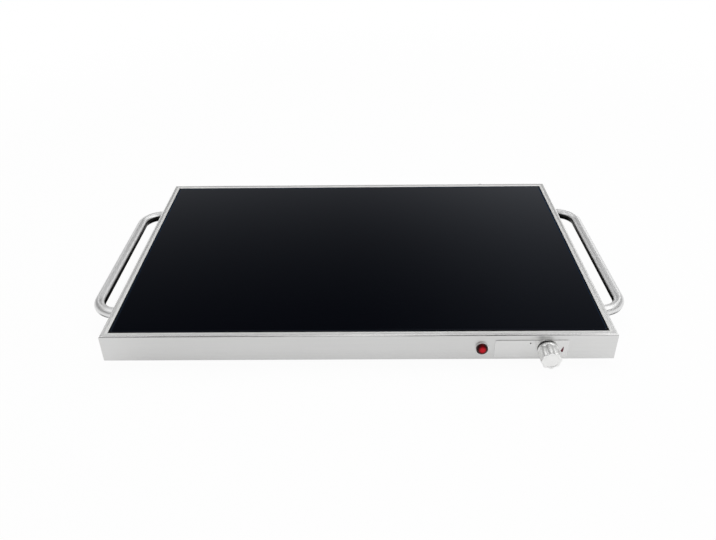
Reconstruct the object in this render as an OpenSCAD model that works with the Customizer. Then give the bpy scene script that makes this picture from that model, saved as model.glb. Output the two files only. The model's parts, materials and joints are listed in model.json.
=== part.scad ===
// Electric food warmer tray: a low folded steel frame round a black glass top, heated from below.
// Millimetres. +Z up, +Y to the back, origin under the middle of the tray where its feet stand.

/* [Body] */
// Width of the frame, without its handles
body_w = 600; // [560:5:640]
// Depth of the frame, without its knob and gland
body_d = 400; // [380:5:440]
// Height of the frame, from its bottom edge to its rim
body_h = 35; // [35:1:44]
// Thickness of the frame's sheet
sheet_t = 1; // [0.8:0.1:1.2]
// Outer radius of the fold between wall and rim
fold_r = 2.2; // [1.8:0.1:2.8]

/* [Rim and glass] */
// Width of the rim, from the wall's face to the drop round the glass
rim_w = 8.8; // [8:0.1:10]
// Where the flat part of the rim ends and its inner slope starts
rim_flat = 5.2; // [4.5:0.1:6]
// How far the inner slope comes down
rim_dip = 0.8; // [0.6:0.1:1.2]
// Width of the ledge that carries the glass
ledge_w = 8; // [7:0.5:10]
// Thickness of the glass
glass_t = 4; // [4:0.5:5]
// Corner radius of the glass
glass_corner_r = 4; // [2:0.5:6]
// Width of the gasket beside the glass
seal_w = 1.4; // [1:0.1:2]
// Thickness of the gasket under the glass
seal_t = 1; // [0.8:0.1:1.5]
// How far the gasket stays below the top of the glass
seal_drop = 0.4; // [0.2:0.1:0.6]

/* [Base] */
// Thickness of the bottom cover
base_t = 1; // [0.8:0.1:1.2]
// How far the bottom cover stays inside the walls
base_inset = 4; // [3:0.5:6]
// Width of the frame's bottom flange
flange_w = 14; // [12:0.5:16]
// Length of one vent slot
vent_l = 36; // [24:2:44]
// Width of one vent slot
vent_w = 4; // [3:0.5:5]
// Slots in one row
vent_cols = 6; // [4:1:6]
// Rows of slots
vent_rows = 3; // [2:1:4]
// Distance from slot to slot along a row
vent_pitch_x = 56; // [52:1:60]
// Distance from row to row
vent_pitch_y = 14; // [10:1:16]
// Height of a rubber foot
foot_h = 10; // [8:0.5:14]
// Radius of a foot at its top
foot_r = 12; // [11:0.5:14]
// Radius of a foot where it stands
foot_tip_r = 10.5; // [9.5:0.5:11]
// How far a foot's centre is from the walls
foot_inset = 45; // [35:1:55]

/* [Handles] */
// Outside diameter of the handle tube
handle_d = 14; // [13:0.5:16]
// Wall of the handle tube
handle_wall = 1.2; // [1:0.1:1.4]
// Radius of the tube's two bends, at its centre line
handle_bend_r = 28; // [24:1:34]
// Straight length of tube between a wall and a bend
handle_stub = 3; // [3:0.5:8]
// Distance between the two arms of one handle
handle_span = 258; // [200:2:280]
// Width of the weld bead round each arm
weld_w = 0.9; // [0.6:0.1:1.4]

/* [Controls] */
// How far the knob's axis is below the rim
control_drop = 20; // [18.5:0.5:20.5]
// Distance from the tray's right end to the knob's axis
knob_in = 79.7; // [76:0.1:100]
// Outside diameter of the knob
knob_d = 24; // [22:0.5:26]
// How far the knob's front stands off the front wall
knob_reach = 22.8; // [20:0.2:26]
// Gap between the control plate and the back of the knob
knob_gap = 1.6; // [0.8:0.1:2]
// Height of the plain collar at the back of the knob
knob_collar = 3; // [2:0.5:4]
// Number of lobes round the knob
knob_lobes = 8; // [6:1:10]
// Depth of the hollow between two lobes
knob_flute = 1.1; // [0.8:0.1:2.2]
// Depth of the dish in the knob's front
knob_dish = 0.6; // [0.3:0.1:1]
// Thickness of the control plate
plate_t = 0.8; // [0.5:0.1:1.2]
// Width of the control plate
plate_w = 85; // [70:1:90]
// Height of the control plate
plate_h = 24.5; // [22:0.5:26]
// Distance from the tray's right end to the middle of the control plate
plate_in = 98.5; // [95:0.5:102]
// How far the middle of the control plate is below the rim
plate_drop = 19.8; // [18:0.1:20.5]
// Distance from the tray's right end to the lamp's axis
lamp_in = 156; // [152:1:180]
// How far the lamp's axis is below the rim
lamp_drop = 18.5; // [17:0.5:19.5]
// Outside diameter of the lamp's bezel
bezel_d = 15.6; // [14.5:0.1:17]
// Height of the bezel's rim over the wall
bezel_h = 1.1; // [0.9:0.1:1.8]
// Height of the lens above its bezel
lens_h = 5.5; // [4:0.1:6.5]
// Flat facets round the lens
lens_facets = 10; // [8:1:12]

/* [Heater] */
// Thickness of the aluminium sheet under the glass
spreader_t = 1.2; // [1:0.1:1.5]
// Diameter of the heating wire
element_d = 3.2; // [2.8:0.1:3.4]
// Straight runs of heating wire, an even number
element_runs = 8; // [6:2:8]
// Distance from the outer runs to the mat's edges
element_margin = 20; // [18:1:34]
// Length of a straight run
element_l = 456; // [400:2:470]
// Thickness of the insulating mat
mat_t = 9.5; // [8:0.5:10]
// Sheet of the pan that holds the mat up
pan_t = 0.8; // [0.6:0.1:1]

/* [Inlet] */
// Distance from the tray's right end to the cord's gland
gland_in = 100; // [90:1:110]
// How far the gland stands off the back wall
gland_reach = 22; // [20:0.5:26]
// Bore that the cord goes through
gland_bore = 7; // [6:0.1:7.6]

/* [Hidden] */
$fn = 64;
cut = 1;            // how far a cutter runs past the face it leaves
slip = 0.3;         // radial room round what only passes through
seat = 0.05;        // room between parts that fit together
hair = 0.2;         // room at a seat where a round part lies on a flat one

// levels, from the floor up
z_base = foot_h;
z_floor = z_base + base_t;
z_bottom = z_floor;
z_top = z_bottom + body_h;
z_glass_top = z_top - rim_dip;
z_glass = z_glass_top - glass_t;
z_ledge = z_glass - seal_t;
z_ledge_under = z_ledge - sheet_t;
z_control = z_top - control_drop;
z_lamp = z_top - lamp_drop;
z_plate = z_top - plate_drop;
z_side = z_bottom + body_h / 2;
front_y = -body_d / 2;
back_y = body_d / 2;
side_x = body_w / 2;
knob_x = side_x - knob_in;
plate_x = side_x - plate_in;
lamp_x = side_x - lamp_in;
gland_x = side_x - gland_in;
ledge_in = rim_w + ledge_w;
glass_w = body_w - 2 * (rim_w + seal_w);
glass_d = body_d - 2 * (rim_w + seal_w);
slope_run = rim_w - rim_flat;
mitre = max(ledge_in, flange_w) + cut;
seam_w = 0.4;       // width of the mitre's seam across the rim
seam_deep = 0.3;    // how far the seam goes down

// heater stack, from the glass down
z_spreader = z_glass - spreader_t;
z_element = z_spreader - hair - element_d / 2;
clip_roof = 0.6;
clip_h = element_d + 2 * hair + clip_roof;
z_mat_top = z_spreader - clip_h;
z_mat = z_mat_top - mat_t;
z_pan = z_mat - pan_t;
stack_side = 5;        // room between the ledge and the spreader's ends
control_bay = 48;      // from the front wall to the spreader
wiring_bay = 30;       // from the back wall to the spreader
sensor_strip = 28;     // strip of spreader kept free for the bulb and the cut-out
mat_step = 2;          // how far the mat stays inside the spreader
stack_w = body_w - 2 * ledge_in - 2 * stack_side;
spreader_front = front_y + control_bay;
spreader_back = back_y - wiring_bay;
mat_front = spreader_front + sensor_strip;
mat_back = spreader_back - mat_step;
mat_w = stack_w - 2 * mat_step;
web_x = side_x - ledge_in - stack_side + mat_step;
stud_x = side_x - rim_w - ledge_w / 2;
stud_y = 90;
stud_r = 2;
stud_l = 8;
tab_l = 36;
heat_y = (mat_front + mat_back) / 2;
element_pitch = (mat_back - mat_front - 2 * element_margin) / (element_runs - 1);
run_y = [for (i = [0 : element_runs - 1]) heat_y + (i - (element_runs - 1) / 2) * element_pitch];
tail_r = 6;
tail_x = element_l / 2 + tail_r;
tail_z = z_pan - 4;
tail_hole_r = 5;

// fasteners
m3_r = 1.5;
m4_r = 2;
m5_r = 2.5;
m4_nut_af = 7;
m4_nut_h = 3.2;
tapper_r = 1.6;
tapper_head_r = 3.3;
tapper_head_h = 2;
tapper_l = 7;
handle_r = handle_d / 2;
handle_bore_r = handle_r - handle_wall;
handle_out = handle_stub + handle_bend_r;
plug_nose_r = handle_bore_r - 2;
plug_nose_l = 8;
washer_t = 1;
washer_r = 6;
bolt_head_af = 8;
bolt_head_h = 3.4;
foot_screw_head_r = 4;
foot_screw_head_h = 2.6;
foot_recess = foot_h / 2;
foot_x = side_x - foot_inset;
foot_y = back_y - foot_inset;

// thermostat and knob
shaft_r = 3;
bush_r = 5;
nut_af = 14;
nut_h = 2.5;
bush_l = sheet_t + plate_t + nut_h + 1;
thermostat_w = 34;
thermostat_h = 22;
thermostat_depth = 26;
thermostat_y = front_y + sheet_t;
blade_w = 6.3;
blade_t = 0.8;
blade_l = 8;
blade_x = 8;
shaft_seat = 6;
plate_y = front_y - plate_t;
knob_back = plate_y - knob_gap;
knob_front = front_y - knob_reach;
knob_l = knob_back - knob_front;
knob_pocket_r = 9.2;
knob_pocket = front_y + sheet_t - bush_l - 1;
knob_wall = 4;
flat_at = 1.6;
flute_r = 4;
knob_face = 1.2;
knob_land = 3;
index_angle = 164;
shaft_end = knob_front + knob_wall + 1;

// lamp
barrel_r = 5.5;
barrel_l = 22;
lens_r = bezel_d / 2 - 1.1;
lens_sink = bezel_h - 0.4;
lamp_blade_x = 3;
lamp_blade_w = 2.8;

// capillary, cut-out and their clips
bulb_r = 3;
bulb_l = 60;
bulb_in = 127;
bulb_x = knob_x - bulb_in;
sensor_y = spreader_front + sensor_strip / 2;
z_bulb = z_spreader - hair - bulb_r;
capillary_r = 0.8;
cutout_in = 179;
cutout_x = knob_x - cutout_in;
cutout_r = 8;
cutout_h = 7;
z_cutout_blade = z_spreader - cutout_h + 1;

// terminal block, gland and earth
block_x = gland_x;
block_gap = 12;        // from the block's back to the heating wire's tail
block_d = 18;
block_y = run_y[element_runs - 1] - block_gap - block_d / 2;
pole_pitch = 10;
poles = 4;
block_screw_x = poles * pole_pitch / 2 + 3;
block_w = 2 * (block_screw_x + 3);
block_h = 11;
pole_r = 2.2;
pole_deep = 5;
z_pole = z_floor + 5.5;
gland_af = 18;
gland_hex_h = 5;
gland_thread_r = 7.6;
gland_inner_l = 9;
gland_outer_l = 9;
gland_outer_r = 7;
gland_wall = 5;
locknut_h = 4;
bushing_l = 10;
bushing_r = 5;
earth_x = gland_x + 28;
earth_y = block_y - 45;
earth_l = 11;
ring_t = 0.8;
ring_r = 4.6;
lead_r = 1.3;
turn = 4;              // one step along a lead's route

// one row of evenly spaced numbers, centred on zero
function spread(n, pitch) = [for (i = [0 : n - 1]) (i - (n - 1) / 2) * pitch];
function unit(v) = v / norm(v);

// a route through the points p with its corners rounded off, n steps to a corner
function rounded_route(p, reach, n) = concat([p[0]],
    [for (i = [1 : len(p) - 2])
        let (back = p[i - 1] - p[i], on = p[i + 1] - p[i],
             d = min(reach, 0.45 * norm(back), 0.45 * norm(on)),
             s = p[i] + d * unit(back), e = p[i] + d * unit(on))
        for (k = [0 : n]) let (t = k / n) (1 - t) * (1 - t) * s + 2 * t * (1 - t) * p[i] + t * t * e],
    [p[len(p) - 1]]);

// directions square to the tangents t, each turned as little as can be from the one before
function square_to(t, u, i = 0) = i == len(t) ? [] :
    let (w = unit(u - (u * t[i]) * t[i])) concat([w], square_to(t, w, i + 1));

module rounded(w, d, r) {
    square([w - 2 * r, d], center = true);
    square([w, d - 2 * r], center = true);
    for (x = [-1, 1], y = [-1, 1]) translate([x * (w / 2 - r), y * (d / 2 - r)]) circle(r);
}

module hex(af, h) {
    cylinder(d = af / cos(30), h = h, $fn = 6);
}

// a round bar or cutter that runs back from y along +Y
module along_y(x, y, z, r, l) {
    translate([x, y, z]) rotate([-90, 0, 0]) cylinder(r = r, h = l);
}

module hex_along_y(x, y, z, af, l) {
    translate([x, y, z]) rotate([-90, 0, 0]) hex(af, l);
}

// a round lead swept along a route of points
module lead(route, r, reach = 12, steps = 4, sides = 8) {
    p = rounded_route(route, reach, steps);
    n = len(p);
    along = [for (i = [0 : n - 1]) unit(p[min(i + 1, n - 1)] - p[max(i - 1, 0)])];
    across = square_to(along, [0.31, 0.52, 0.79]);
    points = [for (i = [0 : n - 1])
        let (u = across[i], v = cross(along[i], u))
        for (k = [0 : sides - 1]) p[i] + r * (cos(k * 360 / sides) * u + sin(k * 360 / sides) * v)];
    walls = [for (i = [0 : n - 2], k = [0 : sides - 1])
        let (a = i * sides + k, b = i * sides + (k + 1) % sides)
        for (f = [[a, b + sides, b], [a, a + sides, b + sides]]) f];
    caps = [for (k = [1 : sides - 2]) each [[0, k, k + 1],
        [(n - 1) * sides, (n - 1) * sides + k + 1, (n - 1) * sides + k]]];
    polyhedron(points = points, faces = concat(walls, caps), convexity = 8);
}

// section of the folded sheet: u runs in from the wall's face, v up from its bottom edge
module wall_section() {
    u_ledge = rim_w - sheet_t;
    v_ledge = z_ledge - z_bottom;
    v_top = body_h;
    square([flange_w, sheet_t]);
    square([sheet_t, v_top - fold_r]);
    translate([fold_r, v_top - fold_r]) intersection() {
        difference() {
            circle(fold_r);
            circle(fold_r - sheet_t);
        }
        translate([-fold_r, 0]) square(fold_r);
    }
    translate([fold_r, v_top - sheet_t]) square([rim_flat - fold_r, sheet_t]);
    polygon([[rim_flat, v_top], [rim_w, v_top - rim_dip], [rim_w, v_top - rim_dip - sheet_t],
        [u_ledge, v_top - rim_dip - sheet_t], [rim_flat, v_top - sheet_t]]);
    translate([u_ledge, v_ledge - sheet_t]) square([sheet_t, v_top - rim_dip - v_ledge + sheet_t]);
    translate([u_ledge, v_ledge - sheet_t]) square([ledge_w + sheet_t, sheet_t]);
}

// one wall with its rim, ledge and flange, mitred at both ends, its face on y = 0
module wall(length) {
    intersection() {
        translate([-length / 2, 0, 0]) rotate([90, 0, 90]) linear_extrude(length) wall_section();
        linear_extrude(body_h) polygon([[-length / 2, 0], [length / 2, 0],
            [length / 2 - mitre, mitre], [mitre - length / 2, mitre]]);
    }
}

// places of the screws that hold the bottom cover to the flange
flange_mid = (base_inset + flange_w) / 2;
base_screw_places = concat(
    [for (x = spread(4, body_w / 3.6), y = [-1, 1]) [x, y * (back_y - flange_mid)]],
    [for (x = [-1, 1], y = spread(2, body_d / 2.2)) [x * (side_x - flange_mid), y]]);

module casing() {
    color("silver") difference() {
        translate([0, 0, z_bottom]) {
            translate([0, front_y, 0]) wall(body_w);
            translate([0, back_y, 0]) rotate(180) wall(body_w);
            translate([-side_x, 0, 0]) rotate(-90) wall(body_d);
            translate([side_x, 0, 0]) rotate(90) wall(body_d);
            for (x = [-1, 1], y = [-1, 1])
                translate([x * stud_x, y * stud_y, z_ledge_under - z_bottom - stud_l])
                    cylinder(r = stud_r, h = stud_l);
        }
        along_y(lamp_x, front_y - cut, z_lamp, barrel_r + slip, sheet_t + 2 * cut);
        along_y(knob_x, front_y - cut, z_control, bush_r + slip, sheet_t + 2 * cut);
        along_y(gland_x, back_y - sheet_t - cut, z_side, gland_thread_r + slip, sheet_t + 2 * cut);
        for (side = [-1, 1], y = [-1, 1])
            translate([side * (side_x - sheet_t / 2), y * handle_span / 2, z_side])
                rotate([0, 90, 0]) cylinder(r = m5_r + slip, h = sheet_t + 2 * cut, center = true);
        for (p = base_screw_places)
            translate([p[0], p[1], z_bottom - cut]) cylinder(r = tapper_r + slip, h = sheet_t + 2 * cut);
        for (x = [0, 1], y = [0, 1]) mirror([x, 0, 0]) mirror([0, y, 0])
            translate([side_x - rim_w, back_y - rim_w, z_top - seam_deep]) rotate(45)
                translate([seam_w, -seam_w / 2, 0])
                    cube([(rim_w - fold_r) * sqrt(2), seam_w, seam_deep + cut]);
    }
}

module glass_top() {
    color("black") translate([0, 0, z_glass])
        linear_extrude(glass_t) rounded(glass_w, glass_d, glass_corner_r);
}

module glass_seal() {
    color("dimgray") difference() {
        translate([0, 0, z_ledge]) linear_extrude(z_glass_top - seal_drop - z_ledge)
            square([body_w - 2 * rim_w, body_d - 2 * rim_w], center = true);
        translate([0, 0, z_glass]) linear_extrude(glass_t)
            rounded(glass_w + 2 * seat, glass_d + 2 * seat, glass_corner_r + seat);
        translate([0, 0, z_ledge - cut]) linear_extrude(seal_t + 2 * cut)
            square([body_w - 2 * ledge_in, body_d - 2 * ledge_in], center = true);
    }
}

// one handle, on the right side
module handle_bar() {
    module ring() {
        difference() {
            circle(handle_r);
            circle(handle_bore_r);
        }
    }
    bar_l = handle_span - 2 * handle_bend_r;
    translate([side_x, 0, z_side]) {
        for (end = [-1, 1]) {
            translate([0, end * handle_span / 2, 0]) rotate([0, 90, 0]) {
                linear_extrude(handle_stub) ring();
                rotate_extrude() polygon([[handle_bore_r, 0], [handle_r + weld_w, 0],
                    [handle_r + weld_w / 2, weld_w / 2], [handle_r, weld_w * 1.5],
                    [handle_bore_r, weld_w * 1.5]]);
            }
            translate([handle_stub, end * (handle_span / 2 - handle_bend_r), 0])
                rotate(end < 0 ? -90 : 0) rotate_extrude(angle = 90) translate([handle_bend_r, 0]) ring();
        }
        translate([handle_out, -bar_l / 2, 0]) rotate([-90, 0, 0]) linear_extrude(bar_l) ring();
    }
}

module handle_left() {
    color("silver") mirror([1, 0, 0]) handle_bar();
}

module handle_right() {
    color("silver") handle_bar();
}

module at_handle_ends() {
    for (side = [0, 1], y = [-1, 1]) mirror([side, 0, 0])
        translate([side_x, y * handle_span / 2, z_side]) rotate([0, 90, 0]) children();
}

module handle_plugs() {
    color("gray") at_handle_ends() difference() {
        union() {
            cylinder(r = handle_bore_r - seat, h = handle_stub);
            cylinder(r = plug_nose_r, h = plug_nose_l);
        }
        translate([0, 0, -cut]) cylinder(r = m5_r + seat, h = plug_nose_l + 2 * cut);
    }
}

module handle_washers() {
    color("silver") at_handle_ends() translate([0, 0, -sheet_t - seat - washer_t]) difference() {
        cylinder(r = washer_r, h = washer_t);
        translate([0, 0, -cut]) cylinder(r = m5_r + slip, h = washer_t + 2 * cut);
    }
}

module handle_screws() {
    color("silver") at_handle_ends() translate([0, 0, -sheet_t - seat - washer_t]) {
        cylinder(r = m5_r, h = sheet_t + seat + washer_t + plug_nose_l - 1);
        translate([0, 0, -bolt_head_h]) hex(bolt_head_af, bolt_head_h);
    }
}

module slot(l, w) {
    square([l - w, w], center = true);
    for (x = [-1, 1]) translate([x * (l - w) / 2, 0]) circle(w / 2);
}

vent_band = body_d / 3.4;
module base_plate() {
    color("lightgray") translate([0, 0, z_base]) difference() {
        linear_extrude(base_t) difference() {
            square([body_w - 2 * base_inset, body_d - 2 * base_inset], center = true);
            for (p = base_screw_places) translate(p) circle(tapper_r + slip);
            for (x = [-1, 1], y = [-1, 1]) translate([x * foot_x, y * foot_y]) circle(m4_r + slip);
            for (band = [-1, 1], x = spread(vent_cols, vent_pitch_x), y = spread(vent_rows, vent_pitch_y))
                translate([x, band * vent_band / 2 + y]) slot(vent_l, vent_w);
        }
        for (x = [-1, 1]) translate([block_x + x * block_screw_x, block_y, -cut])
            cylinder(r = m3_r + seat, h = base_t + 2 * cut);
    }
}

module base_screws() {
    color("silver") for (p = base_screw_places) translate([p[0], p[1], z_base - tapper_head_h]) {
        cylinder(r1 = tapper_head_r - 1, r2 = tapper_head_r, h = 0.8);
        translate([0, 0, 0.8]) cylinder(r = tapper_head_r, h = tapper_head_h - 0.8);
        cylinder(r = tapper_r, h = tapper_head_h + tapper_l);
    }
}

module at_feet() {
    for (x = [-1, 1], y = [-1, 1]) translate([x * foot_x, y * foot_y, 0]) children();
}

module feet() {
    bore = m4_r + slip;
    recess_r = foot_screw_head_r + 1;
    edge = 1;
    color("dimgray") at_feet() rotate_extrude() polygon([[bore, foot_h], [foot_r - edge, foot_h],
        [foot_r, foot_h - edge], [foot_tip_r, edge], [foot_tip_r - edge, 0], [recess_r, 0],
        [recess_r, foot_recess], [bore, foot_recess]]);
}

module foot_screws() {
    color("silver") at_feet() translate([0, 0, foot_recess]) {
        cylinder(r = m4_r, h = z_floor - foot_recess + m4_nut_h + 1);
        translate([0, 0, -foot_screw_head_h]) cylinder(r = foot_screw_head_r, h = foot_screw_head_h);
    }
}

// an M4 nut standing on z = 0
module m4_nut() {
    difference() {
        hex(m4_nut_af, m4_nut_h);
        translate([0, 0, -cut]) cylinder(r = m4_r + seat, h = m4_nut_h + 2 * cut);
    }
}

module foot_nuts() {
    color("silver") at_feet() translate([0, 0, z_floor]) m4_nut();
}

module control_plate() {
    color("gainsboro") difference() {
        translate([plate_x, front_y, z_plate]) rotate([90, 0, 0])
            linear_extrude(plate_t) rounded(plate_w, plate_h, 1.5);
        along_y(knob_x, plate_y - cut, z_control, bush_r + slip, plate_t + 2 * cut);
    }
}

// a D-shaped bar from y back, its flat turned to the knob's pointer
module flatted(y, l, r, flat) {
    difference() {
        along_y(knob_x, y, z_control, r, l);
        translate([knob_x, y + l / 2, z_control]) rotate([0, 90 - index_angle, 0])
            translate([-r - cut, -l / 2 - cut, flat]) cube([2 * (r + cut), l + 2 * cut, r + cut]);
    }
}

module thermostat_spindle() {
    flat_l = knob_pocket - shaft_end;
    color("goldenrod") {
        flatted(shaft_end, flat_l, shaft_r, flat_at);
        along_y(knob_x, knob_pocket, z_control, shaft_r, thermostat_y + shaft_seat - knob_pocket);
    }
}

module knob() {
    color("silver") difference() {
        translate([knob_x, knob_back, z_control]) rotate([90, 0, 0]) rotate_extrude()
            polygon([[0, 0], [knob_d / 2 - 0.4, 0], [knob_d / 2, 0.6], [knob_d / 2, knob_l - knob_face],
                [knob_d / 2 - knob_face, knob_l], [knob_d / 2 - knob_land, knob_l],
                [knob_d / 2 - knob_land - knob_dish, knob_l - knob_dish], [0, knob_l - knob_dish]]);
        for (i = [0 : knob_lobes - 1])
            translate([knob_x, knob_back - knob_collar, z_control]) rotate([90, 0, 0])
                rotate(index_angle + i * 360 / knob_lobes)
                    translate([knob_d / 2 - knob_flute + flute_r, 0, 0])
                        cylinder(r = flute_r, h = knob_l);
        along_y(knob_x, knob_pocket, z_control, knob_pocket_r, knob_back - knob_pocket + cut);
        flatted(shaft_end - 0.3, knob_pocket - shaft_end + 0.3 + cut, shaft_r + seat, flat_at + seat);
    }
}

module thermostat_body() {
    difference() {
        union() {
            color("goldenrod") along_y(knob_x, thermostat_y - bush_l, z_control, bush_r, bush_l + cut);
            color("white") translate([knob_x - thermostat_w / 2, thermostat_y, z_control - thermostat_h / 2])
                cube([thermostat_w, thermostat_depth, thermostat_h]);
            color("silver") for (x = [-1, 1])
                translate([knob_x + x * blade_x - blade_w / 2, thermostat_y + thermostat_depth, z_control])
                    cube([blade_w, blade_l, blade_t]);
        }
        along_y(knob_x, thermostat_y - bush_l - cut, z_control, shaft_r + seat,
            bush_l + shaft_seat + cut + 1);
    }
}

module thermostat_nut() {
    color("silver") difference() {
        hex_along_y(knob_x, plate_y - nut_h, z_control, nut_af, nut_h);
        along_y(knob_x, plate_y - nut_h - cut, z_control, bush_r + seat, nut_h + 2 * cut);
    }
}

module lamp_body() {
    color("gainsboro") difference() {
        union() {
            along_y(lamp_x, front_y - bezel_h, z_lamp, bezel_d / 2, bezel_h);
            along_y(lamp_x, front_y - cut / 2, z_lamp, barrel_r, barrel_l);
            for (x = [-1, 1])
                translate([lamp_x + x * lamp_blade_x - lamp_blade_w / 2, front_y - cut / 2 + barrel_l,
                    z_lamp - blade_t / 2]) cube([lamp_blade_w, blade_l, blade_t]);
        }
        along_y(lamp_x, front_y - bezel_h - cut, z_lamp, lens_r + seat, lens_sink + cut);
    }
}

module lamp_lens() {
    floor_y = front_y - bezel_h + lens_sink;
    brim = lens_h * 0.47;
    crown_r = lens_r * 0.76;
    crown_h = lens_h * 0.36;
    table_r = lens_r * 0.5;
    color("crimson") translate([lamp_x, floor_y, z_lamp]) rotate([90, 0, 0]) {
        cylinder(r = lens_r, h = lens_sink + brim);
        translate([0, 0, lens_sink + brim]) {
            cylinder(r1 = lens_r, r2 = crown_r, h = crown_h, $fn = lens_facets);
            translate([0, 0, crown_h])
                cylinder(r1 = crown_r, r2 = table_r, h = lens_h - brim - crown_h, $fn = lens_facets);
        }
    }
}

module lamp_clip() {
    color("silver") difference() {
        along_y(lamp_x, thermostat_y, z_lamp, barrel_r + 3, sheet_t);
        along_y(lamp_x, thermostat_y - cut, z_lamp, barrel_r + seat, sheet_t + 2 * cut);
    }
}

module heat_spreader() {
    color("silver") translate([-stack_w / 2, spreader_front, z_spreader])
        cube([stack_w, spreader_back - spreader_front, spreader_t]);
}

// eight straight runs joined by half turns, and two tails that drop through the mat
module heating_element() {
    r = element_d / 2;
    half = element_pitch / 2;
    last = element_runs - 1;
    color("firebrick") translate([0, 0, z_element]) {
        for (y = run_y) translate([-element_l / 2, y, 0]) rotate([0, 90, 0]) cylinder(r = r, h = element_l);
        for (i = [0 : last - 1]) translate([(i % 2 == 0 ? -1 : 1) * element_l / 2, run_y[i] + half, 0])
            rotate(i % 2 == 0 ? 90 : -90) rotate_extrude(angle = 180) translate([half, 0]) circle(r);
        for (y = [run_y[0], run_y[last]]) {
            translate([element_l / 2, y, -tail_r]) rotate([90, 0, 0])
                rotate_extrude(angle = 90) translate([tail_r, 0]) circle(r);
            translate([tail_x, y, tail_z - z_element]) cylinder(r = r, h = z_element - tail_r - tail_z);
        }
    }
}

module element_clips() {
    clip_l = 8;
    clip_w = element_d + 6;
    color("silver") for (y = run_y, x = spread(3, element_l / 2.4))
        translate([x - clip_l / 2, y, z_spreader]) rotate([0, 90, 0]) linear_extrude(clip_l) difference() {
            translate([0, -clip_w / 2]) square([clip_h, clip_w]);
            translate([hair + element_d / 2, 0]) circle(element_d / 2 + hair);
            translate([-cut, -element_d / 2 - hair])
                square([cut + hair + element_d / 2, element_d + 2 * hair]);
        }
}

module insulation_mat() {
    color("ivory") difference() {
        translate([-mat_w / 2, mat_front, z_mat]) cube([mat_w, mat_back - mat_front, mat_t]);
        for (y = [run_y[0], run_y[element_runs - 1]])
            translate([tail_x, y, z_mat - cut]) cylinder(r = tail_hole_r, h = mat_t + 2 * cut);
    }
}

module hold_down_pan() {
    web_h = z_ledge_under - z_pan;
    color("lightgray") difference() {
        union() {
            translate([-web_x, mat_front, z_pan]) cube([2 * web_x, mat_back - mat_front, pan_t]);
            for (side = [0, 1], y = [-1, 1]) mirror([side, 0, 0])
                translate([web_x - pan_t, y * stud_y - tab_l / 2, z_pan]) {
                    cube([pan_t, tab_l, web_h]);
                    translate([0, 0, web_h - pan_t])
                        cube([side_x - rim_w - 0.5 - web_x + pan_t, tab_l, pan_t]);
                }
        }
        for (x = [-1, 1], y = [-1, 1]) translate([x * stud_x, y * stud_y, z_pan])
            cylinder(r = stud_r + slip, h = web_h + cut);
        for (y = [run_y[0], run_y[element_runs - 1]])
            translate([tail_x, y, z_pan - cut]) cylinder(r = tail_hole_r, h = pan_t + 2 * cut);
    }
}

module pan_nuts() {
    color("silver") for (x = [-1, 1], y = [-1, 1])
        translate([x * stud_x, y * stud_y, z_ledge_under - pan_t - m4_nut_h]) m4_nut();
}

module sensing_bulb() {
    color("peru") translate([bulb_x, sensor_y, z_bulb]) rotate([0, 90, 0]) {
        cylinder(r = bulb_r, h = bulb_l);
        translate([0, 0, bulb_l]) cylinder(r1 = bulb_r, r2 = capillary_r + 0.4, h = 3);
    }
}

module bulb_clips() {
    clip_l = 8;
    clip_w = 2 * bulb_r + 6;
    color("silver") for (x = [bulb_x + 14, bulb_x + bulb_l - 14])
        translate([x - clip_l / 2, sensor_y, z_spreader]) rotate([0, 90, 0])
            linear_extrude(clip_l) difference() {
                translate([0, -clip_w / 2]) square([2 * (bulb_r + hair) + clip_roof, clip_w]);
                translate([hair + bulb_r, 0]) circle(bulb_r + hair);
                translate([-cut, -bulb_r - hair]) square([cut + hair + bulb_r, 2 * (bulb_r + hair)]);
            }
}

module capillary_tube() {
    start = [bulb_x + bulb_l + 3, sensor_y, z_bulb];
    end = [knob_x - thermostat_w / 2, thermostat_y + thermostat_depth / 2, z_control + turn];
    color("peru") lead([start + [hair, 0, 0], start + turn * [2, 0, 0], start + turn * [5, -1, -0.5],
        end + turn * [-5, 6, 0.75], end + turn * [-3, 1, 0], end + turn * [-1.5, 0, 0],
        end + [-hair, 0, 0]], capillary_r, sides = 6);
}

module thermal_cutout() {
    ear = 2 * cutout_r + 8;
    color("dimgray") translate([cutout_x, sensor_y, z_spreader]) difference() {
        union() {
            translate([-4, -ear / 2, -1]) cube([8, ear, 1]);
            translate([0, 0, -cutout_h]) cylinder(r = cutout_r, h = cutout_h);
            for (x = [-1, 1]) translate([x * (cutout_r + 3) - 4.5, -blade_w / 2, -cutout_h + 1])
                cube([9, blade_w, blade_t]);
        }
        for (y = [-1, 1]) translate([0, y * (cutout_r + 2), -cut - 1])
            cylinder(r = m3_r + seat, h = 1 + 2 * cut);
    }
}

module cutout_rivets() {
    rivet_l = 2.2;
    color("silver") for (y = [-1, 1])
        translate([cutout_x, sensor_y + y * (cutout_r + 2), z_spreader - rivet_l]) {
            cylinder(r = m3_r, h = rivet_l);
            cylinder(r = 1.9, h = rivet_l - 1);
        }
}

module terminal_block() {
    color("ivory") difference() {
        translate([block_x - block_w / 2, block_y - block_d / 2, z_floor]) cube([block_w, block_d, block_h]);
        for (x = spread(poles, pole_pitch)) {
            along_y(block_x + x, block_y - block_d / 2 - cut, z_pole, pole_r, pole_deep + cut);
            along_y(block_x + x, block_y + block_d / 2 - pole_deep, z_pole, pole_r, pole_deep + cut);
            translate([block_x + x, block_y, z_floor + block_h - 3]) cylinder(r = 2.4, h = 3 + cut);
        }
        for (x = [-1, 1]) translate([block_x + x * block_screw_x, block_y, z_floor - cut])
            cylinder(r = m3_r + slip, h = block_h + 2 * cut);
    }
}

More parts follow.
